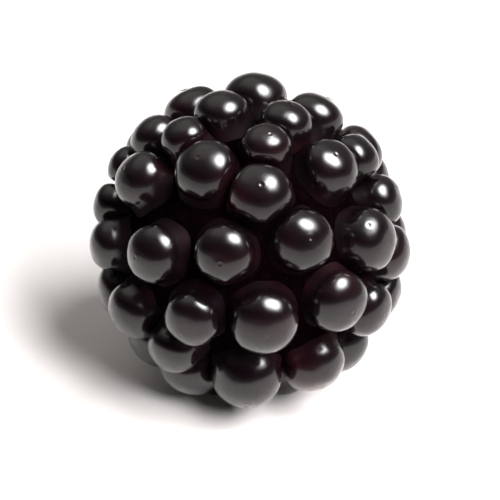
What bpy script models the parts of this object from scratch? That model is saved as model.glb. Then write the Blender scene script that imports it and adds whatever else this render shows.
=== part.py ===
"""Bramble berry: ripe, picked clean, lying on its side on a level surface.

An aggregate fruit is one grown piece: its drupelets are fused at their bases to the receptacle and at
their flanks to each other, so the whole berry is one closed solid, the node "berry".

Frame: metres, +Z up.  The apex of the berry points to -Y and its stem end to +Y.  The origin is under the
middle of the berry, on the surface that it rests on.
"""
import math

import bmesh
import bpy
import numpy as np
from mathutils import Matrix, Vector

MM = 0.001

# Outline of the berry: the dome of each drupelet touches this egg from inside.
GIRTH_RADIUS = 11.6 * MM          # across the axis, at the widest place
APEX_LENGTH = 12.0 * MM           # from the widest place to the apex
STEM_LENGTH = 12.8 * MM           # to where the egg would close, had it no stem end
AXIS_DROOP = math.radians(9.0)    # the apex hangs this far below level
SINK = 0.2 * MM                   # how far the third lowest drupelet is pressed flat underneath

# Receptacle: the core that the drupelets are fused to.  It ends in the scar that the stem left.
CORE_DEPTH = 2.6 * MM             # from the outline in to the core, at the bottom of the creases
SCAR_PLACE = 10.0 * MM            # along the axis from the widest place
SCAR_RADIUS = 3.3 * MM
SCAR_DISH = 0.5 * MM              # the middle of the scar lies this much deeper than its rim

# Drupelets of the apex and the upper side, set out one by one: polar angle from the apex, clock angle
# about the axis (0 on top, 90 towards +X), both in degrees, and the radius of the dome in mm.
LAID_OUT = (
    (7, 52, 2.45), (23, 277, 2.05), (34, 184, 2.6), (34, 342, 2.1),
    (38, 82, 2.3), (38, 238, 1.9), (43, 31, 2.25), (46, 141, 2.35),
    (50, 300, 2.1), (57, 102, 2.05), (60, 6, 2.3), (60, 255, 2.15),
    (70, 68, 2.35), (73, 340, 2.3), (79, 8, 1.8), (80, 36, 2.2),
    (80, 88, 2.1), (85, 309, 2.1), (86, 277, 1.9), (86, 64, 2.0),
    (88, 334, 1.7), (92, 13, 1.9), (96, 52, 1.8), (98, 284, 1.7),
    (105, 348, 2.0), (107, 298, 1.6), (109, 309, 1.9), (112, 56, 2.0),
)
LAID_OUT_MIDDLE = (35, 0)         # no other drupelet starts within LAID_OUT_REACH of this direction
LAID_OUT_REACH = math.radians(70)

# The three drupelets underneath that carry the berry, written the same way.
CARRYING = (
    (73, 165, 2.4), (73, 195, 2.4), (97, 181, 2.4),
)

# Drupelets in a ring about the scar.
SCAR_RING = 8
SCAR_RING_POLAR = 149
SCAR_RING_RADIUS = 2.2

# The other drupelets fill what room is left.  Then all of them settle against their neighbours.
SEED = 7
FREE_RADIUS = 2.3 * MM
FREE_SPREAD = 0.12                # of the radius, from the smallest drupelet to the largest
LEAST_ROOM = 0.5                  # of FREE_RADIUS: where there is less, no drupelet starts
TRIAL_PLACES = 900
DOME_HEIGHT = 0.82                # of a drupelet above its middle, over its radius
FUSED = 0.95                      # distance between neighbours, over the sum of their radii
SETTLING_STEPS = 200
SETTLING_RATE = 0.25
LAID_OUT_RATE = 0.01

SEGMENTS, RINGS = 10, 8           # of one drupelet
CORE_STEPS = 24
SKIN_COLOUR = (0.008, 0.004, 0.006, 1.0)
SKIN_ROUGHNESS = 0.12


def clear_scene():
    for thing in list(bpy.data.objects):
        bpy.data.objects.remove(thing, do_unlink=True)


def outline_radius(cosine):
    """Distance from the middle to the outline, where the polar angle from the apex has this cosine."""
    length = APEX_LENGTH if cosine > 0 else STEM_LENGTH
    return 1 / math.sqrt((cosine / length) ** 2 + (1 - cosine ** 2) / GIRTH_RADIUS ** 2)


def seat(direction, radius):
    """Middle of a drupelet that lies in this direction from the middle of the berry."""
    unit = direction / np.linalg.norm(direction)
    return unit * (outline_radius(-unit[1]) - DOME_HEIGHT * radius)


def towards(polar, clock):
    polar, clock = math.radians(polar), math.radians(clock)
    return np.array((math.sin(polar) * math.sin(clock), -math.cos(polar), math.sin(polar) * math.cos(clock)))


def spiral(count):
    """Evenly spread directions, from the apex to the stem end."""
    for i in range(count):
        polar = math.degrees(math.acos(1 - (2 * i + 1) / count))
        yield towards(polar, i * 137.508)


def fill(middles, radii):
    """Starting places for the rest of the drupelets: always the one with the most room."""
    scar = np.array((0.0, SCAR_PLACE, 0.0))
    laid_out = towards(*LAID_OUT_MIDDLE)
    free = [d for d in spiral(TRIAL_PLACES) if d @ laid_out < math.cos(LAID_OUT_REACH)]
    trials = [seat(direction, FREE_RADIUS) for direction in free]
    trials = np.array([t for t in trials if np.linalg.norm(t - scar) > SCAR_RADIUS + FREE_RADIUS])
    variation = np.random.default_rng(SEED)
    while True:
        apart = np.linalg.norm(trials[:, None] - np.array(middles)[None], axis=2)
        room = (apart - np.array(radii)).min(axis=1)
        best = int(room.argmax())
        if room[best] < LEAST_ROOM * FREE_RADIUS:
            return middles, radii
        middles.append(trials[best])
        radii.append(FREE_RADIUS * (1 + FREE_SPREAD * (variation.random() - 0.5)))


def settle(middles, radii, rates):
    """Push apart the drupelets that crowd each other, and those that crowd the scar."""
    scar = np.array((0.0, SCAR_PLACE, 0.0))
    middles = np.array(middles)
    radii = np.array(radii)
    for _ in range(SETTLING_STEPS):
        for i, place in enumerate(middles):
            apart = place - middles
            gap = np.linalg.norm(apart, axis=1)
            wanted = FUSED * (radii + radii[i])
            crowded = (gap > 0) & (gap < wanted)
            push = (apart[crowded] * (wanted[crowded] / gap[crowded] - 1)[:, None]).sum(axis=0)
            scar_gap = np.linalg.norm(place - scar)
            if scar_gap < SCAR_RADIUS + radii[i]:
                push = push + (place - scar) * ((SCAR_RADIUS + radii[i]) / scar_gap - 1)
            middles[i] = seat(place + rates[i] * push, radii[i])
    return middles


def drupelets():
    """Middle and radius of every drupelet, about the middle of the berry, with its axis along Y."""
    ring = [(SCAR_RING_POLAR, i * 360 / SCAR_RING, SCAR_RING_RADIUS) for i in range(SCAR_RING)]
    rows = list(CARRYING) + list(LAID_OUT) + ring
    radii = [radius * MM for _, _, radius in rows]
    middles = [seat(towards(polar, clock), r) for (polar, clock, _), r in zip(rows, radii)]
    middles, radii = fill(middles, radii)
    rates = np.full(len(middles), SETTLING_RATE)
    rates[:len(rows)] = LAID_OUT_RATE
    rates[:len(CARRYING)] = 0
    return settle(middles, radii, rates), radii


def lie_down(middles, radii):
    """The berry's own frame set down on the surface, with the middle of its box over the origin."""
    droop = Matrix.Rotation(AXIS_DROOP, 4, "X")
    placed = np.array([droop @ Vector(m) for m in middles])
    outwards = placed / np.linalg.norm(placed, axis=1, keepdims=True)
    reach = np.array(radii)[:, None] * np.sqrt(1 - (1 - DOME_HEIGHT ** 2) * outwards ** 2)
    across = ((placed - reach).min(axis=0) + (placed + reach).max(axis=0)) / 2
    third_lowest = np.sort((placed - reach)[:, 2])[2]
    return Matrix.Translation((-across[0], -across[1], -third_lowest - SINK)) @ droop


def new_object(name, mesh, collection):
    thing = bpy.data.objects.new(name, mesh)
    collection.objects.link(thing)
    return thing


def cutter(name, work, collection):
    """An object that shapes the berry without being part of it."""
    mesh = bpy.data.meshes.new(name)
    work.to_mesh(mesh)
    work.free()
    thing = new_object(name, mesh, collection)
    thing.hide_render = True
    thing.display_type = "WIRE"
    return thing


def drupelet_domes(middles, radii, frame, collection):
    """All the drupelets as whole flattened balls, each with its pole outwards."""
    work = bmesh.new()
    turns = np.random.default_rng(SEED).random(len(radii)) * math.tau
    for middle, radius, turn in zip(middles, radii, turns):
        outwards = Vector(middle).to_track_quat("Z", "Y").to_matrix().to_4x4()
        place = frame @ Matrix.Translation(middle) @ outwards @ Matrix.Rotation(turn, 4, "Z")
        place = place @ Matrix.Diagonal((1, 1, DOME_HEIGHT, 1))
        bmesh.ops.create_uvsphere(work, u_segments=SEGMENTS, v_segments=RINGS, radius=radius, matrix=place)
    return cutter("drupelet_domes", work, collection)


def surface_block(collection):
    """The space below the surface that the berry rests on."""
    depth = 2 * GIRTH_RADIUS
    work = bmesh.new()
    bmesh.ops.create_cube(work, size=1.0, matrix=Matrix.Translation((0, 0, -depth / 2))
                          @ Matrix.Diagonal((4 * STEM_LENGTH, 4 * STEM_LENGTH, depth, 1)))
    return cutter("surface_block", work, collection)


def core_profile():
    """Outline of the receptacle at +X, from the middle of the scar down its side to the apex."""
    scar = [(SCAR_RADIUS * t, SCAR_PLACE - SCAR_DISH * (1 - t ** 4)) for t in (0, 0.45, 0.7, 0.9)]
    girth = GIRTH_RADIUS - CORE_DEPTH
    stem_side = []
    for step in range(7):
        angle = math.radians(90 - 15 * step)
        across = SCAR_RADIUS + (girth - SCAR_RADIUS) * math.cos(angle)
        stem_side.append((across, SCAR_PLACE * math.sin(angle)))
    apex_side = []
    for step in range(1, 7):
        angle = math.radians(15 * step)
        apex_side.append((girth * math.cos(angle), -(APEX_LENGTH - CORE_DEPTH) * math.sin(angle)))
    return scar + stem_side + apex_side


def receptacle(frame, collection):
    """The core, turned about the axis of the berry."""
    profile = core_profile()
    mesh = bpy.data.meshes.new("berry")
    mesh.from_pydata([(x, 0, z) for x, z in profile], [(i, i + 1) for i in range(len(profile) - 1)], [])
    berry = new_object("berry", mesh, collection)
    berry.matrix_world = frame @ Matrix.Rotation(math.radians(-90), 4, "X")
    turned = berry.modifiers.new("turned", "SCREW")
    turned.steps = turned.render_steps = CORE_STEPS
    turned.use_merge_vertices = True
    turned.merge_threshold = 0.00001
    return berry


def boolean(target, name, operation, other):
    joined = target.modifiers.new(name, "BOOLEAN")
    joined.operation = operation
    joined.object = other
    joined.solver = "EXACT"
    joined.use_self = operation == "UNION"


def skin():
    material = bpy.data.materials.new("drupelet_skin")
    material.use_nodes = True
    surface = material.node_tree.nodes["Principled BSDF"]
    surface.inputs["Base Color"].default_value = SKIN_COLOUR
    surface.inputs["Roughness"].default_value = SKIN_ROUGHNESS
    surface.inputs["Metallic"].default_value = 0.0
    return material


def main():
    clear_scene()
    parts = bpy.data.collections.new("bramble_berry")
    cutters = bpy.data.collections.new("cutters")
    bpy.context.scene.collection.children.link(parts)
    bpy.context.scene.collection.children.link(cutters)
    middles, radii = drupelets()
    frame = lie_down(middles, radii)
    berry = receptacle(frame, parts)
    boolean(berry, "drupelets", "UNION", drupelet_domes(middles, radii, frame, cutters))
    boolean(berry, "resting_flats", "DIFFERENCE", surface_block(cutters))
    berry.data.materials.append(skin())


main()
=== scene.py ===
"""Looks of the bramble berry: a ripe berry, lying on its side on a white table under soft lamps."""
import math

import bpy
import numpy as np
from mathutils import Matrix, Vector


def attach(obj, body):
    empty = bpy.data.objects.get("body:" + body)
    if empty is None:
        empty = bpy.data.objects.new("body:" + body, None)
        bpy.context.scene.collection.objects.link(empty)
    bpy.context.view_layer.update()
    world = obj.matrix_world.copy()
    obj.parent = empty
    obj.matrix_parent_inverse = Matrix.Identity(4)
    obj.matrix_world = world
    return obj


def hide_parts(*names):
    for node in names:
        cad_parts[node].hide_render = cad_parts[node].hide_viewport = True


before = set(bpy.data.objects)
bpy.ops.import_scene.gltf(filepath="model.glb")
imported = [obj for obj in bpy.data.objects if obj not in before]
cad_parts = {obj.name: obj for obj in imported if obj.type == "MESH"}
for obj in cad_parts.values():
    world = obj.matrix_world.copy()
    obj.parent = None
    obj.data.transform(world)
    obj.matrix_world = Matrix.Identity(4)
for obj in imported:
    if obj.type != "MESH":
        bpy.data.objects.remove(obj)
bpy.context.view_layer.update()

MM = 0.001

# ---- the berry's build, as the CAD part has it ----
# Outline of the berry: the dome of each drupelet touches this egg from inside.
GIRTH_RADIUS = 11.6 * MM          # across the axis, at the widest place
APEX_LENGTH = 12.0 * MM           # from the widest place to the apex
STEM_LENGTH = 12.8 * MM           # to where the egg would close, had it no stem end
AXIS_DROOP = math.radians(9.0)    # the apex hangs this far below level
SINK = 0.2 * MM                   # how far the third lowest drupelet is pressed flat underneath

# Receptacle: the core that the drupelets are fused to.  It ends in the scar that the stem left.
CORE_DEPTH = 2.6 * MM             # from the outline in to the core, at the bottom of the creases
SCAR_PLACE = 10.0 * MM            # along the axis from the widest place
SCAR_RADIUS = 3.3 * MM
SCAR_DISH = 0.5 * MM              # the middle of the scar lies this much deeper than its rim

# Drupelets of the apex and the upper side, set out one by one: polar angle from the apex, clock angle
# about the axis (0 on top, 90 towards +X), both in degrees, and the radius of the dome in mm.
LAID_OUT = (
    (7, 52, 2.45), (23, 277, 2.05), (34, 184, 2.6), (34, 342, 2.1),
    (38, 82, 2.3), (38, 238, 1.9), (43, 31, 2.25), (46, 141, 2.35),
    (50, 300, 2.1), (57, 102, 2.05), (60, 6, 2.3), (60, 255, 2.15),
    (70, 68, 2.35), (73, 340, 2.3), (79, 8, 1.8), (80, 36, 2.2),
    (80, 88, 2.1), (85, 309, 2.1), (86, 277, 1.9), (86, 64, 2.0),
    (88, 334, 1.7), (92, 13, 1.9), (96, 52, 1.8), (98, 284, 1.7),
    (105, 348, 2.0), (107, 298, 1.6), (109, 309, 1.9), (112, 56, 2.0),
)
LAID_OUT_MIDDLE = (35, 0)         # no other drupelet starts within LAID_OUT_REACH of this direction
LAID_OUT_REACH = math.radians(70)

# The three drupelets underneath that carry the berry, written the same way.
CARRYING = (
    (73, 165, 2.4), (73, 195, 2.4), (97, 181, 2.4),
)

# Drupelets in a ring about the scar.
SCAR_RING = 8
SCAR_RING_POLAR = 149
SCAR_RING_RADIUS = 2.2

# The other drupelets fill what room is left.  Then all of them settle against their neighbours.
SEED = 7
FREE_RADIUS = 2.3 * MM
FREE_SPREAD = 0.12                # of the radius, from the smallest drupelet to the largest
LEAST_ROOM = 0.5                  # of FREE_RADIUS: where there is less, no drupelet starts
TRIAL_PLACES = 900
GOLDEN_TURN = 137.508             # degrees about the axis, from one trial place to the next
DOME_HEIGHT = 0.82                # of a drupelet above its middle, over its radius
FUSED = 0.95                      # distance between neighbours, over the sum of their radii
SETTLING_STEPS = 200
SETTLING_RATE = 0.25
LAID_OUT_RATE = 0.01


def outline_radius(cosine):
    """Distance from the middle to the outline, where the polar angle from the apex has this cosine."""
    length = APEX_LENGTH if cosine > 0 else STEM_LENGTH
    return 1 / math.sqrt((cosine / length) ** 2 + (1 - cosine ** 2) / GIRTH_RADIUS ** 2)


def seat(direction, radius):
    """Middle of a drupelet that lies in this direction from the middle of the berry."""
    unit = direction / np.linalg.norm(direction)
    return unit * (outline_radius(-unit[1]) - DOME_HEIGHT * radius)


def towards(polar, clock):
    """The direction with this polar angle from the apex and clock angle about the axis, in degrees."""
    polar, clock = math.radians(polar), math.radians(clock)
    sideways = math.sin(polar)
    return np.array((sideways * math.sin(clock), -math.cos(polar), sideways * math.cos(clock)))


def polar_angles(middles):
    """How far from the apex each drupelet lies, in degrees about the middle of the berry."""
    return np.degrees(np.arccos(-middles[:, 1] / np.linalg.norm(middles, axis=1)))


def spiral(count):
    """Evenly spread directions, from the apex to the stem end."""
    for i in range(count):
        polar = math.degrees(math.acos(1 - (2 * i + 1) / count))
        yield towards(polar, i * GOLDEN_TURN)


def fill(middles, radii):
    """Starting places for the rest of the drupelets: always the one with the most room."""
    scar = np.array((0.0, SCAR_PLACE, 0.0))
    laid_out = towards(*LAID_OUT_MIDDLE)
    free = [d for d in spiral(TRIAL_PLACES) if d @ laid_out < math.cos(LAID_OUT_REACH)]
    trials = [seat(direction, FREE_RADIUS) for direction in free]
    trials = np.array([t for t in trials if np.linalg.norm(t - scar) > SCAR_RADIUS + FREE_RADIUS])
    variation = np.random.default_rng(SEED)
    while True:
        apart = np.linalg.norm(trials[:, None] - np.array(middles)[None], axis=2)
        room = (apart - np.array(radii)).min(axis=1)
        best = int(room.argmax())
        if room[best] < LEAST_ROOM * FREE_RADIUS:
            return middles, radii
        middles.append(trials[best])
        radii.append(FREE_RADIUS * (1 + FREE_SPREAD * (variation.random() - 0.5)))


def settle(middles, radii, rates):
    """Push apart the drupelets that crowd each other, and those that crowd the scar."""
    scar = np.array((0.0, SCAR_PLACE, 0.0))
    middles = np.array(middles)
    radii = np.array(radii)
    for _ in range(SETTLING_STEPS):
        for i, place in enumerate(middles):
            apart = place - middles
            gap = np.linalg.norm(apart, axis=1)
            wanted = FUSED * (radii + radii[i])
            crowded = (gap > 0) & (gap < wanted)
            push = (apart[crowded] * (wanted[crowded] / gap[crowded] - 1)[:, None]).sum(axis=0)
            scar_gap = np.linalg.norm(place - scar)
            if scar_gap < SCAR_RADIUS + radii[i]:
                push = push + (place - scar) * ((SCAR_RADIUS + radii[i]) / scar_gap - 1)
            middles[i] = seat(place + rates[i] * push, radii[i])
    return middles


def drupelets():
    """Middle and radius of every drupelet, about the middle of the berry, with its axis along Y."""
    ring = [(SCAR_RING_POLAR, i * 360 / SCAR_RING, SCAR_RING_RADIUS) for i in range(SCAR_RING)]
    rows = list(CARRYING) + list(LAID_OUT) + ring
    radii = [radius * MM for _, _, radius in rows]
    middles = [seat(towards(polar, clock), r) for (polar, clock, _), r in zip(rows, radii)]
    middles, radii = fill(middles, radii)
    rates = np.full(len(middles), SETTLING_RATE)
    rates[:len(rows)] = LAID_OUT_RATE
    rates[:len(CARRYING)] = 0
    return settle(middles, radii, rates), np.array(radii)


def lie_down(middles, radii):
    """The berry's own frame set down on the surface, with the middle of its box over the origin."""
    droop = Matrix.Rotation(AXIS_DROOP, 4, "X")
    placed = np.array([droop @ Vector(m) for m in middles])
    outwards = placed / np.linalg.norm(placed, axis=1, keepdims=True)
    reach = radii[:, None] * np.sqrt(1 - (1 - DOME_HEIGHT ** 2) * outwards ** 2)
    across = ((placed - reach).min(axis=0) + (placed + reach).max(axis=0)) / 2
    third_lowest = np.sort((placed - reach)[:, 2])[2]
    return Matrix.Translation((-across[0], -across[1], -third_lowest - SINK)) @ droop


# ---- pieces ----
def new_piece(name, points, place, faces, material, slot, **measures):
    """A smooth mesh piece of the berry, set down, and pressed flat where it would pass through the surface.

    Each measure becomes a number on every point, for the material.
    """
    placed = np.array(points) @ np.array(place.to_3x3()).T + np.array(place.translation)
    placed[:, 2] = np.maximum(placed[:, 2], 0.0)
    mesh = bpy.data.meshes.new(name)
    mesh.from_pydata([tuple(p) for p in placed], [], faces)
    for key, values in measures.items():
        numbers = np.array(values, dtype=np.float32)
        mesh.attributes.new(key, "FLOAT", "POINT").data.foreach_set("value", numbers)
    mesh.materials.append(material)
    mesh.shade_smooth()
    piece = bpy.data.objects.new(name, mesh)
    bpy.context.scene.collection.objects.link(piece)
    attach(piece, "root")
    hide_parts("berry")


def ring_faces(first, around, steps, flipped=False):
    """The faces that join rings of points, numbered ring after ring from this first point on.

    Flipped, they face the other way.
    """
    for step in range(steps):
        for k in range(around):
            a = first + step * around + k
            b = first + step * around + (k + 1) % around
            yield (a, a + around, b + around, b) if flipped else (a, b, b + around, a + around)


def random_unit(noise):
    """A direction drawn at random."""
    direction = noise.normal(size=3)
    return direction / np.linalg.norm(direction)


# ---- one drupelet ----
LARGE_RADIUS = 2.3 * MM           # drupelets larger than this had room to swell, and are rounder
SWELLING = 0.9 / MM               # added to DOME_HEIGHT for each metre of radius beyond that
SQUARENESS = 2.1                  # 2 is an ellipsoid, more is flatter on top and rounder at the shoulder
SKIRT_FLARE = 0.5                 # the foot widens by this times the depth squared, all over the radius
SKIRT_DEPTH = 0.9                 # of the foot below the middle, over the radius
LEVEL = 0.02                      # directions that fall less than this count as falling this much
CREASE_ROUNDING = 0.11            # of the radius: how softly a flank and a contact run into each other
MEETING = 1.8                     # of the sum of two radii: drupelets farther apart don't meet
LEAST_SLANT = 0.05                # directions that lean less than this towards a neighbour miss it
UNLIMITED = 10.0                  # metres: farther than the skin ever lies
LEAST_REACH = 0.3                 # of the radius: the skin comes no nearer to the middle

# Slow waves of the skin: how many across the drupelet, and how high over the radius.
LUMPS = ((1.9, 0.006), (3.4, 0.0015), (6.5, 0.0004))
LUMP_DIRECTIONS = 3               # each kind of wave runs in this many directions, drawn at random

TIP_LEAN = math.radians(22)       # the style scar lies up to this far from the outermost point
BENT_DRUPELET = (70, 68)          # polar and clock angle of the one that grew askew
BENT_TIP = (64, 5)                # which way its style scar faces
STYLE_SCAR_RADIUS = math.radians(3.4)                 # as an angle at the drupelet's middle
STYLE_SCAR_DEPTH = 0.013          # over the radius of the drupelet
STYLE_SCAR_LIP = 0.35             # height of its raised edge, over its depth

# The mesh is rings of points about the style scar, at these angles from it in degrees.
RING_ANGLES = (1.2, 2.4, 3.6, 4.8, 6.2, 8, 10.5, 14) + tuple(range(17, 150, 3))
AROUND = 84


def smallest(values, softness):
    """Smooth minimum over the last axis."""
    lowest = values.min(axis=-1, keepdims=True)
    return lowest[..., 0] - softness * np.log(np.exp(-(values - lowest) / softness).sum(axis=-1))


def dome_reach(radius, angle):
    """Distance from the middle of a drupelet to its skin, at this angle from its axis.

    Above the middle it is a dome, and below a foot that flares like a skirt.
    """
    n = SQUARENESS
    height = min(1.0, DOME_HEIGHT + SWELLING * max(0.0, radius - LARGE_RADIUS))
    sine, cosine = np.sin(angle), np.cos(angle)
    dome = (np.abs(sine) ** n + (np.abs(cosine) / height) ** n) ** (-1 / n)
    skirt = 2 / (sine + np.sqrt(np.maximum(sine ** 2 - 4 * SKIRT_FLARE * cosine ** 2, 0)))
    floor = SKIRT_DEPTH / np.maximum(-cosine, LEVEL)
    return radius * np.where(angle < math.pi / 2, dome, np.minimum(skirt, floor))


def lumpy(reach, directions, noise):
    """The reach in these directions, with the slow waves of the skin."""
    for waves, height in LUMPS:
        for _ in range(LUMP_DIRECTIONS):
            phase = waves * math.pi * (directions @ random_unit(noise)) + noise.random() * math.tau
            reach = reach * (1 + height * np.cos(phase))
    return reach


def ball_of_directions(pole, turn):
    """The pole, directions in rings about it, closest together near it, and the one opposite."""
    angles = np.radians(np.array(RING_ANGLES))
    around = np.linspace(0, math.tau, AROUND, endpoint=False) + turn
    rings = [(math.sin(a) * math.cos(t), math.sin(a) * math.sin(t), math.cos(a))
             for a in angles for t in around]
    upright = np.array([(0, 0, 1.0)] + rings + [(0, 0, -1.0)])
    return upright @ np.array(Vector(pole).to_track_quat("Z", "Y").to_matrix()).T


def ball_faces():
    """The faces that close such a ball."""
    last = 1 + (len(RING_ANGLES) - 1) * AROUND
    faces = list(ring_faces(1, AROUND, len(RING_ANGLES) - 1, flipped=True))
    for k in range(AROUND):
        after = (k + 1) % AROUND
        faces.append((0, 1 + k, 1 + after))
        faces.append((last + after, last + k, last + AROUND))
    return faces


def drupelet_points(i, middles, radii, pole, noise):
    """Points of the skin of drupelet i, squeezed flat where it meets its neighbours.

    With them come their depths, from 0 on top of the dome to 2 opposite, and how much each belongs to the
    style scar, from 0 to 1.
    """
    middle, radius = middles[i], radii[i]
    directions = ball_of_directions(pole, noise.random() * math.tau)
    cosine = np.clip(directions @ (middle / np.linalg.norm(middle)), -1, 1)
    limits = [lumpy(dome_reach(radius, np.arccos(cosine)), directions, noise)]
    for j in range(len(radii)):
        away = middles[j] - middle
        gap = np.linalg.norm(away)
        if j == i or gap > MEETING * (radius + radii[j]):
            continue
        plane = (gap ** 2 + radius ** 2 - radii[j] ** 2) / (2 * gap)
        slant = directions @ (away / gap)
        limits.append(np.where(slant > LEAST_SLANT, plane / np.maximum(slant, LEAST_SLANT), UNLIMITED))
    reach = smallest(np.array(limits).T, CREASE_ROUNDING * radius)
    from_pole = np.arccos(np.clip(directions @ pole, -1, 1))
    pit = np.exp(-(from_pole / STYLE_SCAR_RADIUS) ** 2)
    lip = np.exp(-((from_pole - 2 * STYLE_SCAR_RADIUS) / STYLE_SCAR_RADIUS) ** 2)
    deepest = radius * STYLE_SCAR_DEPTH
    reach = reach - deepest * pit + deepest * STYLE_SCAR_LIP * lip
    points = middle + directions * np.maximum(reach, LEAST_REACH * radius)[:, None]
    return points, 1 - cosine, pit


# ---- drupelets ----
# The skin is four pieces, because one would be too large.  Each has the drupelets between two polar
# angles, in degrees.
BANDS = (
    ("drupelets_apex", 0, 58), ("drupelets_front", 58, 86),
    ("drupelets_girth", 86, 112), ("drupelets_stem_end", 112, 181),
)
RIPENESS_SPREAD = 0.12            # the most that whole drupelets differ by

# Places that stayed a little redder: polar and clock angle, half-width (degrees), and how much redder.
SHADED = (
    (43, 149, 10, 0.65), (52, 352, 6, 0.25), (75, 200, 12, 0.2),
    (110, 100, 14, 0.25), (120, 250, 16, 0.25),
)


def poles(middles, noise):
    """The direction of the style scar of each drupelet: outwards, but for a lean."""
    bent = int(np.argmax(middles @ towards(*BENT_DRUPELET)))
    for i, middle in enumerate(middles):
        lean = random_unit(noise) * math.tan(TIP_LEAN) * noise.random()
        pole = middle / np.linalg.norm(middle) + lean
        yield towards(*BENT_TIP) if i == bent else pole / np.linalg.norm(pole)


def shaded(points):
    """How much redder than the rest the skin is at these points."""
    directions = points / np.linalg.norm(points, axis=1, keepdims=True)
    redder = np.zeros(len(points))
    for polar, clock, width, amount in SHADED:
        away = np.degrees(np.arccos(np.clip(directions @ towards(polar, clock), -1, 1)))
        redder += amount * np.exp(-(away / width) ** 2)
    return redder


def drupelet_pieces(middles, radii, tips, place, material, noise):
    """The skin of all the drupelets, with the numbers that its material reads."""
    polars = polar_angles(middles)
    sides = ball_faces()
    for name, nearest, farthest in BANDS:
        points, faces, ripeness, depth, scar = [], [], [], [], []
        for i in np.flatnonzero((nearest <= polars) & (polars < farthest)):
            own, own_depth, own_scar = drupelet_points(i, middles, radii, tips[i], noise)
            first = len(points) * len(own)
            points.append(own)
            faces.extend(tuple(first + v for v in face) for face in sides)
            ripeness.append(1 - RIPENESS_SPREAD * noise.random() ** 2 - shaded(own))
            depth.append(own_depth)
            scar.append(own_scar)
        new_piece(name, np.concatenate(points), place, faces, material, "drupelet_skin",
                  ripeness=np.concatenate(ripeness), depth=np.concatenate(depth), scar=np.concatenate(scar))


# ---- receptacle ----
CORE_AROUND, CORE_ALONG = 192, 120                    # points of its mesh
CORE_FOLDS = ((9, 14, 0.012), (17, -11, 0.006))       # waves around, waves along, height over the radius
CORE_END = 0.9                    # the core's side ends in line with this much of the scar's radius
CORE_TUCK = 0.8                   # and its last ring is drawn in to this, under the scar


def core_reach(cosine):
    """Distance from the middle to the core's side, where the polar angle has this cosine."""
    girth = GIRTH_RADIUS - CORE_DEPTH
    length = APEX_LENGTH - CORE_DEPTH if cosine > 0 else SCAR_PLACE
    return 1 / math.sqrt((cosine / length) ** 2 + (1 - cosine ** 2) / girth ** 2)


def receptacle_piece(place, material):
    """The floor of the creases, from the apex to the rim of the scar, dark with painted shade."""
    points = []
    end = math.pi - math.atan2(SCAR_RADIUS * CORE_END, SCAR_PLACE)
    for row in range(CORE_ALONG + 1):
        polar = end * row / CORE_ALONG
        tuck = CORE_TUCK if row == CORE_ALONG else 1
        for column in range(CORE_AROUND):
            clock = math.tau * column / CORE_AROUND
            unit = towards(math.degrees(polar), math.degrees(clock))
            folds = sum(height * math.sin(around * clock + along * polar)
                        for around, along, height in CORE_FOLDS)
            points.append(unit * core_reach(math.cos(polar)) * (1 + folds * math.sin(polar)) * tuck)
    faces = list(ring_faces(0, CORE_AROUND, CORE_ALONG))
    faces.append(tuple(range(CORE_ALONG * CORE_AROUND, (CORE_ALONG + 1) * CORE_AROUND)))
    new_piece("receptacle_creases", points, place, faces, material, "drupelet_skin")


# ---- scar ----
# Distances across the scar are 0 in its middle and 1 at its rim.
SCAR_AROUND, SCAR_STEPS = 120, 26                     # points around its mesh, and rings out to the rim
BED_STEPS = 7                     # rings past the rim, down to the bases of the drupelets
BED_DROP = 1.3 * MM               # how far below the rim the last of them lies
BED_CURVE = 1.3                   # 1 is a straight slope, more is level at first
DISH_CURVE = 4                    # 2 is a round bowl, more is flatter in the middle
RELIEF = 0.42 * MM                # the heights below are in this
STRAND_PLACE, STRAND_WIDTH = 0.42, 0.07               # of the ring of strand ends
LIP_PLACE, LIP_WIDTH = 0.88, 0.08
PIT_WIDTH, PIT_DEPTH = 0.16, 1.2
FIBRES, FIBRE_SLANT, FIBRE_HEIGHT = 31, 9, 0.16       # how many, their phase at the rim, how high

# What varies around the scar: its mean, and its waves by number, height and phase.
STRAND_HEIGHTS = (0.55, (9, 0.45, 1.3 + math.pi / 2))
LIP_HEIGHTS = (0.5, (5, 0.3, 0), (13, 0.2, 2))
RIM_RADII = (1, (3, 0.05, 1), (8, 0.025, 0))


def varied(clock, mean, *waves):
    """What has this mean and these waves around the scar, at this clock angle."""
    return sum((height * math.sin(number * clock + phase) for number, height, phase in waves), mean)


def ridge(across, place, width):
    """1 at this place across the scar, and less the farther from it, over this width."""
    return math.exp(-((across - place) / width) ** 2)


def scar_height(across, clock):
    """Height of the scar's torn face above the plane of its rim."""
    strands = ridge(across, STRAND_PLACE, STRAND_WIDTH) * varied(clock, *STRAND_HEIGHTS)
    lip = ridge(across, LIP_PLACE, LIP_WIDTH) * varied(clock, *LIP_HEIGHTS)
    pit = PIT_DEPTH * ridge(across, 0, PIT_WIDTH)
    fibres = FIBRE_HEIGHT * math.sin(FIBRES * clock + FIBRE_SLANT * across) * across * (1 - across)
    face = RELIEF * (strands + lip - pit + fibres) - SCAR_DISH * (1 - min(1, across) ** DISH_CURVE)
    return face - BED_DROP * max(0, (across - 1) * SCAR_STEPS / BED_STEPS) ** BED_CURVE


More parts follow.
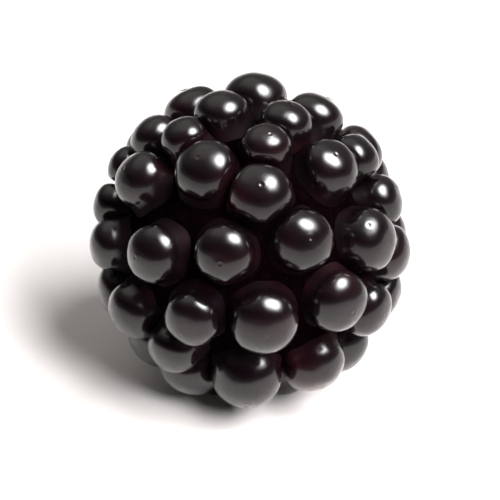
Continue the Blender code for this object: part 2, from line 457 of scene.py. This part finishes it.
def scar_piece(place, material):
    """The pale pith that the stem was pulled from, with its ring of strand ends and its torn lip."""
    points = [(0.0, SCAR_PLACE + scar_height(0, 0), 0.0)]
    across = [0.0]
    for step in range(1, SCAR_STEPS + BED_STEPS + 1):
        share = step / SCAR_STEPS
        for k in range(SCAR_AROUND):
            clock = math.tau * k / SCAR_AROUND
            radius = SCAR_RADIUS * share * varied(clock, *RIM_RADII)
            height = SCAR_PLACE + scar_height(share, clock)
            points.append((radius * math.sin(clock), height, radius * math.cos(clock)))
            across.append(share)
    faces = [(0, 1 + k, 1 + (k + 1) % SCAR_AROUND) for k in range(SCAR_AROUND)]
    faces.extend(ring_faces(1, SCAR_AROUND, SCAR_STEPS + BED_STEPS - 1, flipped=True))
    new_piece("stem_scar", points, place, faces, material, "receptacle_flesh", across=across)


# ---- withered styles ----
STYLE_COUNT = 8
STYLE_POLAR = 82                  # nearer the apex than this the styles have all dropped off
STYLE_RADIUS = 0.055 * MM
STYLE_TAPER = 0.55                # what the free end lacks of the radius
STYLE_KNOBS, KNOB_TURN = 0.25, 2.1                    # how much its radius wavers, and the phase of a step
STYLE_LIFTS = (0.03 * MM, 0.12 * MM)                  # of its middle over the skin, at the scar and the end
STYLE_ANGLES = (14, 34)           # degrees that it runs over the drupelet, at least and at most
STYLE_CURL = 1.4                  # radians between the sharpest curls to either side
STYLE_SIDES, STYLE_STEPS = 7, 14


def style_path(middle, radius, pole, noise):
    """The middle of a short dry thread from a style scar, which lifts off the skin towards its free end."""
    near_lift, far_lift = STYLE_LIFTS
    least, most = STYLE_ANGLES
    outwards = middle / np.linalg.norm(middle)
    side = np.cross(pole, random_unit(noise))
    side /= np.linalg.norm(side)
    far = math.radians(least + (most - least) * noise.random())
    curl = (noise.random() - 0.5) * STYLE_CURL
    path = []
    for step in range(STYLE_STEPS + 1):
        share = step / STYLE_STEPS
        angle = far * share
        swerve = np.cross(pole, side) * math.sin(curl * share) * share
        direction = pole * math.cos(angle) + (side + swerve) * math.sin(angle)
        direction /= np.linalg.norm(direction)
        skin = float(dome_reach(radius, np.array(math.acos(min(1.0, direction @ outwards)))))
        path.append(middle + direction * (skin + near_lift + (far_lift - near_lift) * share ** 2))
    return np.array(path)


def style_piece(middles, radii, tips, place, material, noise):
    """The few styles that are left, each a thin knobbly tube with closed ends."""
    left = np.flatnonzero(polar_angles(middles) > STYLE_POLAR)
    points, faces, along = [], [], []
    for i in noise.choice(left, STYLE_COUNT, replace=False):
        path = style_path(middles[i], radii[i], tips[i], noise)
        first = len(points)
        last = first + STYLE_STEPS * STYLE_SIDES
        for step, (centre, ahead) in enumerate(zip(path, np.gradient(path, axis=0))):
            turn = np.array(Vector(ahead).to_track_quat("Z", "Y").to_matrix())
            taper = 1 - STYLE_TAPER * step / STYLE_STEPS
            thick = STYLE_RADIUS * taper * (1 + STYLE_KNOBS * math.sin(KNOB_TURN * step))
            for k in range(STYLE_SIDES):
                t = math.tau * k / STYLE_SIDES
                points.append(centre + turn @ np.array((math.cos(t), math.sin(t), 0)) * thick)
                along.append(step / STYLE_STEPS)
        faces.extend(ring_faces(first, STYLE_SIDES, STYLE_STEPS))
        faces.append(tuple(reversed(range(first, first + STYLE_SIDES))))
        faces.append(tuple(range(last, last + STYLE_SIDES)))
    new_piece("withered_styles", points, place, faces, material, "withered_style", along=along)


# ---- nodes ----
ALL = (0.0, 1.0)                  # the values of a noise texture
MOSTLY = (0.3, 0.7)               # where most of them lie


def add(tree, kind, *links, **values):
    """A node with values on its inputs and other nodes' outputs linked to them."""
    made = tree.nodes.new(kind)
    for key, value in values.items():
        made.inputs[key.replace("_", " ")].default_value = value
    for output, socket in links:
        tree.links.new(output, made.inputs[socket])
    return made


def new_material(name):
    """A material, its node tree, and the node of its surface."""
    material = bpy.data.materials.new(name)
    material.use_nodes = True
    return material, material.node_tree, material.node_tree.nodes["Principled BSDF"]


def measure(tree, name):
    """The output of a number that the mesh holds on each point."""
    made = tree.nodes.new("ShaderNodeAttribute")
    made.attribute_name = name
    return made.outputs["Fac"]


def grain(tree, size, detail, roughness=0.5):
    """Noise with features of about this size, in metres, on the object's own coordinates."""
    place = tree.nodes.new("ShaderNodeTexCoord").outputs["Object"]
    return add(tree, "ShaderNodeTexNoise", (place, "Vector"), Scale=1 / size, Detail=detail,
               Roughness=roughness).outputs["Fac"]


def ramp(tree, value, stops):
    """A colour ramp through (place, colour) stops."""
    made = add(tree, "ShaderNodeValToRGB", (value, "Fac"))
    scale = made.color_ramp.elements
    while len(scale) < len(stops):
        scale.new(0.5)
    for stop, (place, colour) in zip(scale, stops):
        stop.position = place
        stop.color = (*colour, 1)
    return made.outputs["Color"]


def spread(tree, value, source, target):
    """The value carried from one range to another, and held at the ends of that one."""
    return add(tree, "ShaderNodeMapRange", (value, "Value"), From_Min=source[0], From_Max=source[1],
               To_Min=target[0], To_Max=target[1]).outputs["Result"]


def arithmetic(tree, operation, *values, kind="ShaderNodeMath"):
    """The number that an operation makes of these values, each a constant or another node's output."""
    made = tree.nodes.new(kind)
    made.operation = operation
    for socket, value in zip(made.inputs, values):
        if isinstance(value, (int, float, Vector)):
            socket.default_value = value
        else:
            tree.links.new(value, socket)
    return made.outputs["Value"]


def bump(tree, height, distance, strength=1.0, under=None):
    """The normal that a height gives the surface, on top of another such normal if there is one."""
    made = add(tree, "ShaderNodeBump", (height, "Height"), Distance=distance, Strength=strength)
    if under:
        tree.links.new(under, made.inputs["Normal"])
    return made.outputs["Normal"]


# ---- materials ----
BLACK_SKIN = (0.0033, 0.0015, 0.0023)
WINE_SKIN = (0.0090, 0.0021, 0.0033)
RED_SKIN = (0.036, 0.0054, 0.0054)
STYLE_SCAR_COLOUR = (0.018, 0.009, 0.006, 1)
UNRIPE_REDNESS = 1.6              # added to the redness where there is no ripeness at all
DEEP_REDNESS = 0.1                # added for each unit of depth: that is 0 on top of a dome and 2 opposite
GLOSS_FADE = (1.0, 1.25)          # the wet gloss fades out between these depths
DULL_FADE = (0.95, 1.2)           # and the skin under it turns duller between these
# Painted shade: the floor of the creases is coloured darker than the skin to stand for the shade between
# the drupelets, darkest in the hollows of its wrinkles.
CREASE_PAINTED_SHADE_DEEP = (0.0008, 0.0003, 0.0005)
CREASE_PAINTED_SHADE_SHALLOW = (0.0027, 0.0009, 0.0015)

# Pith from the middle of the scar, at 0, to the rim, at 1.
PITH = (
    (0.0, (0.16, 0.11, 0.04)), (0.16, (0.52, 0.50, 0.26)), (0.42, (0.70, 0.66, 0.42)),
    (0.62, (0.46, 0.50, 0.22)), (0.84, (0.42, 0.26, 0.12)), (1.0, (0.07, 0.022, 0.014)),
)

# A style from where it is least dry to where it is driest.
DRY_STYLE = ((0.1, (0.03, 0.012, 0.007)), (0.6, (0.07, 0.035, 0.017)), (1.0, (0.13, 0.08, 0.04)))
DRYING = 0.6                      # how much drier its free end is than where it leaves the skin


def skin_material():
    """Near-black skin with redder patches, under a wet gloss that fades out towards the creases."""
    material, tree, surface = new_material("drupelet_skin")
    depth = measure(tree, "depth")
    unripe = arithmetic(tree, "SUBTRACT", 1.0, measure(tree, "ripeness"))
    patches = spread(tree, grain(tree, size=3.2 * MM, detail=2.0), MOSTLY, (-0.35, 0.25))
    redness = arithmetic(tree, "ADD", arithmetic(tree, "MULTIPLY", unripe, UNRIPE_REDNESS), patches)
    redness = arithmetic(tree, "ADD", redness, arithmetic(tree, "MULTIPLY", depth, DEEP_REDNESS))
    skin = ramp(tree, redness, ((0.1, BLACK_SKIN), (0.5, WINE_SKIN), (0.95, RED_SKIN)))
    scarred = add(tree, "ShaderNodeMix")
    scarred.data_type = "RGBA"
    tree.links.new(measure(tree, "scar"), scarred.inputs["Factor"])
    tree.links.new(skin, scarred.inputs["A"])
    scarred.inputs["B"].default_value = STYLE_SCAR_COLOUR
    tree.links.new(scarred.outputs["Result"], surface.inputs["Base Color"])
    pores = spread(tree, grain(tree, size=0.7 * MM, detail=3.0), MOSTLY, (0.20, 0.34))
    dulled = spread(tree, depth, DULL_FADE, (0.0, 0.35))
    tree.links.new(arithmetic(tree, "ADD", pores, dulled), surface.inputs["Roughness"])
    tree.links.new(spread(tree, depth, GLOSS_FADE, (1.0, 0.0)), surface.inputs["Coat Weight"])
    ripples = grain(tree, size=1.6 * MM, detail=1.0)
    slow = bump(tree, ripples, distance=0.10 * MM, strength=0.05)
    pimples = grain(tree, size=0.22 * MM, detail=2.0)
    fine = bump(tree, pimples, distance=0.004 * MM, strength=0.6, under=slow)
    tree.links.new(fine, surface.inputs["Normal"])
    tree.links.new(slow, surface.inputs["Coat Normal"])
    surface.inputs["IOR"].default_value = 1.43
    surface.inputs["Specular IOR Level"].default_value = 0.05
    surface.inputs["Coat Roughness"].default_value = 0.19
    surface.inputs["Coat IOR"].default_value = 1.5
    return material


def painted_shade_crease_material():
    """The floor of the creases: wrinkled and matt, with painted shade: darker than the skin, and darkest in
    the hollows of its wrinkles.
    """
    material, tree, surface = new_material("crease_painted_shade")
    wrinkles = grain(tree, size=0.5 * MM, detail=4.0, roughness=0.6)
    # Painted shade: the lower a wrinkle, the darker its colour.
    colour = ramp(tree, wrinkles, ((0.3, CREASE_PAINTED_SHADE_DEEP), (0.75, CREASE_PAINTED_SHADE_SHALLOW)))
    tree.links.new(colour, surface.inputs["Base Color"])
    tree.links.new(spread(tree, wrinkles, ALL, (0.45, 0.7)), surface.inputs["Roughness"])
    tree.links.new(bump(tree, wrinkles, distance=0.15 * MM), surface.inputs["Normal"])
    surface.inputs["Specular IOR Level"].default_value = 0.0
    return material


def flesh_material():
    """Mottled pith with fine fibres, darkest and reddest at its rim."""
    material, tree, surface = new_material("receptacle_flesh")
    mottle = spread(tree, grain(tree, size=0.45 * MM, detail=5.0, roughness=0.65), MOSTLY, (-0.12, 0.12))
    place = arithmetic(tree, "ADD", measure(tree, "across"), mottle)
    damp = grain(tree, size=0.3 * MM, detail=3.0)
    fibres = grain(tree, size=0.18 * MM, detail=4.0, roughness=0.6)
    tree.links.new(ramp(tree, place, PITH), surface.inputs["Base Color"])
    tree.links.new(spread(tree, damp, ALL, (0.45, 0.75)), surface.inputs["Roughness"])
    tree.links.new(bump(tree, fibres, distance=0.10 * MM), surface.inputs["Normal"])
    surface.inputs["Subsurface Weight"].default_value = 0.2
    surface.inputs["Subsurface Radius"].default_value = (0.8 * MM, 0.6 * MM, 0.3 * MM)
    surface.inputs["Subsurface Scale"].default_value = 1.0
    return material


def style_material():
    """A dry brown thread, paler towards its free end."""
    material, tree, surface = new_material("withered_style")
    stains = spread(tree, grain(tree, size=0.3 * MM, detail=2.0), ALL, (-0.2, 0.4))
    drying = arithmetic(tree, "MULTIPLY", measure(tree, "along"), DRYING)
    dryness = arithmetic(tree, "ADD", drying, stains)
    tree.links.new(ramp(tree, dryness, DRY_STYLE), surface.inputs["Base Color"])
    fuzz = grain(tree, size=0.06 * MM, detail=2.0)
    tree.links.new(bump(tree, fuzz, distance=0.02 * MM), surface.inputs["Normal"])
    surface.inputs["Roughness"].default_value = 0.55
    return material


def berry_pieces():
    """All the pieces of the berry.  They share one stream of random numbers, so their order matters."""
    middles, radii = drupelets()
    place = lie_down(middles, radii)
    noise = np.random.default_rng(SEED)
    tips = list(poles(middles, noise))
    drupelet_pieces(middles, radii, tips, place, skin_material(), noise)
    receptacle_piece(place, painted_shade_crease_material())
    scar_piece(place, flesh_material())
    style_piece(middles, radii, tips, place, style_material(), noise)


# ---- studio ----
CAMERA_ELEVATION = math.radians(28)
CAMERA_DISTANCE = 0.26
CAMERA_LENS = 260                 # mm
CAMERA_CLIP = 0.01
AIM_HEIGHT = 0.0105               # the camera aims this high over the origin
TABLE_HALF = 40.0                 # so large that its edge lies at the horizon
# Painted light: the table's colour is brighter near the origin and fades with distance, a painted pool of
# lamplight that the skin mirrors too.
TABLE_PAINTED_FALLOFF = (0.005, 0.10)        # the table darkens between these distances from the origin
TABLE_PAINTED_LIGHT_NEAR = (0.84, 0.80, 0.79)
TABLE_PAINTED_LIGHT_FAR = (0.54, 0.516, 0.51)

# Lamps.  A lamp's angle is half of what it takes up, seen from the berry.  The key and the fill are seen
# only by diffuse surfaces, and the highlight lamps only by glossy ones: a core, and two about it that make
# its rim soft.  A row is an angle and a radiance.
KEY_DIRECTION = (0.50, -0.36, 0.79)
KEY_ANGLE = math.radians(18)
KEY_RADIANCE = 17.6
FILL_DIRECTION = (0.40, -0.72, 0.57)
FILL_ANGLE = math.radians(9)
FILL_RADIANCE = 46.0
HIGHLIGHT_DIRECTION = (0.46, -0.14, 0.88)
HIGHLIGHTS = ((math.radians(19), 20.0), (math.radians(24), 5.0), (math.radians(29), 2.0))

# Room.  The ceiling and the upper room glow fully within the first angle from their direction, and not at
# all beyond the second.  The wall is brightest at the horizon, and fades out at its height above that.
CEILING_DIRECTION = (-0.22, 0.37, 0.91)
CEILING_ANGLES = (math.radians(8), math.radians(38))
CEILING_RADIANCE = 0.62
ROOM_DIRECTION = (0, 0.5, 1)
ROOM_ANGLES = (math.radians(30), math.radians(75))
ROOM_RADIANCE = 0.25
WALL_HEIGHT = math.radians(17)
WALL_RADIANCE = 0.32
ROOM_COLOUR = (1.0, 0.98, 0.94, 1)
BACKDROP_COLOUR = (1, 1, 1, 1)


def table():
    """A white table with a painted pool of light: its colour darkens with distance, and so the skin mirrors
    it darker too.
    """
    mesh = bpy.data.meshes.new("table")
    h = TABLE_HALF
    mesh.from_pydata([(-h, -h, 0), (h, -h, 0), (h, h, 0), (-h, h, 0)], [], [(0, 1, 2, 3)])
    material, tree, surface = new_material("white_table")
    place = tree.nodes.new("ShaderNodeTexCoord").outputs["Object"]
    distance = arithmetic(tree, "LENGTH", place, kind="ShaderNodeVectorMath")
    # Painted light: the colour falls off with distance from the origin, like the light of a lamp.
    shade = spread(tree, distance, TABLE_PAINTED_FALLOFF, (0, 1))
    tree.links.new(ramp(tree, shade, ((0, TABLE_PAINTED_LIGHT_NEAR), (1, TABLE_PAINTED_LIGHT_FAR))), surface.inputs["Base Color"])
    surface.inputs["Roughness"].default_value = 0.6
    surface.inputs["Specular IOR Level"].default_value = 0.2
    mesh.materials.append(material)
    piece = bpy.data.objects.new("table", mesh)
    bpy.context.scene.collection.objects.link(piece)


def sun(name, direction, angle, radiance):
    """A round soft light in this direction, the same from every place on the table."""
    data = bpy.data.lights.new(name, "SUN")
    data.angle = 2 * angle
    data.energy = radiance * math.pi * math.sin(angle) ** 2
    thing = bpy.data.objects.new(name, data)
    thing.rotation_euler = Vector(direction).to_track_quat("Z", "Y").to_euler()
    bpy.context.scene.collection.objects.link(thing)
    return thing


def lamps():
    """The key lamp, the highlight lamps and the fill."""
    sun("key", KEY_DIRECTION, KEY_ANGLE, KEY_RADIANCE).visible_glossy = False
    for angle, radiance in HIGHLIGHTS:
        sun("highlight", HIGHLIGHT_DIRECTION, angle, radiance).visible_diffuse = False
    sun("fill", FILL_DIRECTION, FILL_ANGLE, FILL_RADIANCE).visible_glossy = False


def glow(tree, facing, direction, angles, radiance):
    """Light that is full within the first angle from a direction and fades out at the second one."""
    inner, outer = angles
    axis = Vector(direction).normalized()
    fade = tree.nodes.new("ShaderNodeMapRange")
    fade.interpolation_type = "SMOOTHSTEP"
    nearness = arithmetic(tree, "DOT_PRODUCT", facing, axis, kind="ShaderNodeVectorMath")
    tree.links.new(nearness, fade.inputs["Value"])
    fade.inputs["From Min"].default_value = math.cos(outer)
    fade.inputs["From Max"].default_value = math.cos(inner)
    fade.inputs["To Max"].default_value = radiance
    return fade.outputs["Result"]


def surroundings():
    """The pale room that the skin mirrors.  The camera sees a plain white backdrop in its place."""
    world = bpy.data.worlds.new("studio")
    bpy.context.scene.world = world
    world.use_nodes = True
    tree = world.node_tree
    facing = tree.nodes.new("ShaderNodeTexCoord").outputs["Generated"]
    above = glow(tree, facing, CEILING_DIRECTION, CEILING_ANGLES, CEILING_RADIANCE)
    around = glow(tree, facing, ROOM_DIRECTION, ROOM_ANGLES, ROOM_RADIANCE)
    height = add(tree, "ShaderNodeSeparateXYZ", (facing, "Vector")).outputs["Z"]
    wall = spread(tree, height, (0.0, math.sin(WALL_HEIGHT)), (WALL_RADIANCE, 0.0))
    around = arithmetic(tree, "ADD", around, wall)
    room = tree.nodes["Background"]
    room.inputs["Color"].default_value = ROOM_COLOUR
    tree.links.new(arithmetic(tree, "ADD", above, around), room.inputs["Strength"])
    backdrop = add(tree, "ShaderNodeBackground", Color=BACKDROP_COLOUR, Strength=1.0)
    from_camera = tree.nodes.new("ShaderNodeLightPath").outputs["Is Camera Ray"]
    seen = add(tree, "ShaderNodeMixShader", (from_camera, "Fac"))
    tree.links.new(room.outputs["Background"], seen.inputs[1])
    tree.links.new(backdrop.outputs["Background"], seen.inputs[2])
    tree.links.new(seen.outputs["Shader"], tree.nodes["World Output"].inputs["Surface"])


def camera():
    """It looks at the apex end of the berry, from a little above."""
    data = bpy.data.cameras.new("camera")
    data.lens = CAMERA_LENS
    data.clip_start = CAMERA_CLIP
    thing = bpy.data.objects.new("camera", data)
    back = Vector((0, -math.cos(CAMERA_ELEVATION), math.sin(CAMERA_ELEVATION)))
    thing.location = Vector((0, 0, AIM_HEIGHT)) + back * CAMERA_DISTANCE
    thing.rotation_euler = back.to_track_quat("Z", "Y").to_euler()
    bpy.context.scene.collection.objects.link(thing)
    bpy.context.scene.camera = thing


berry_pieces()
table()
lamps()
surroundings()
bpy.context.scene.view_settings.view_transform = "Standard"
camera()
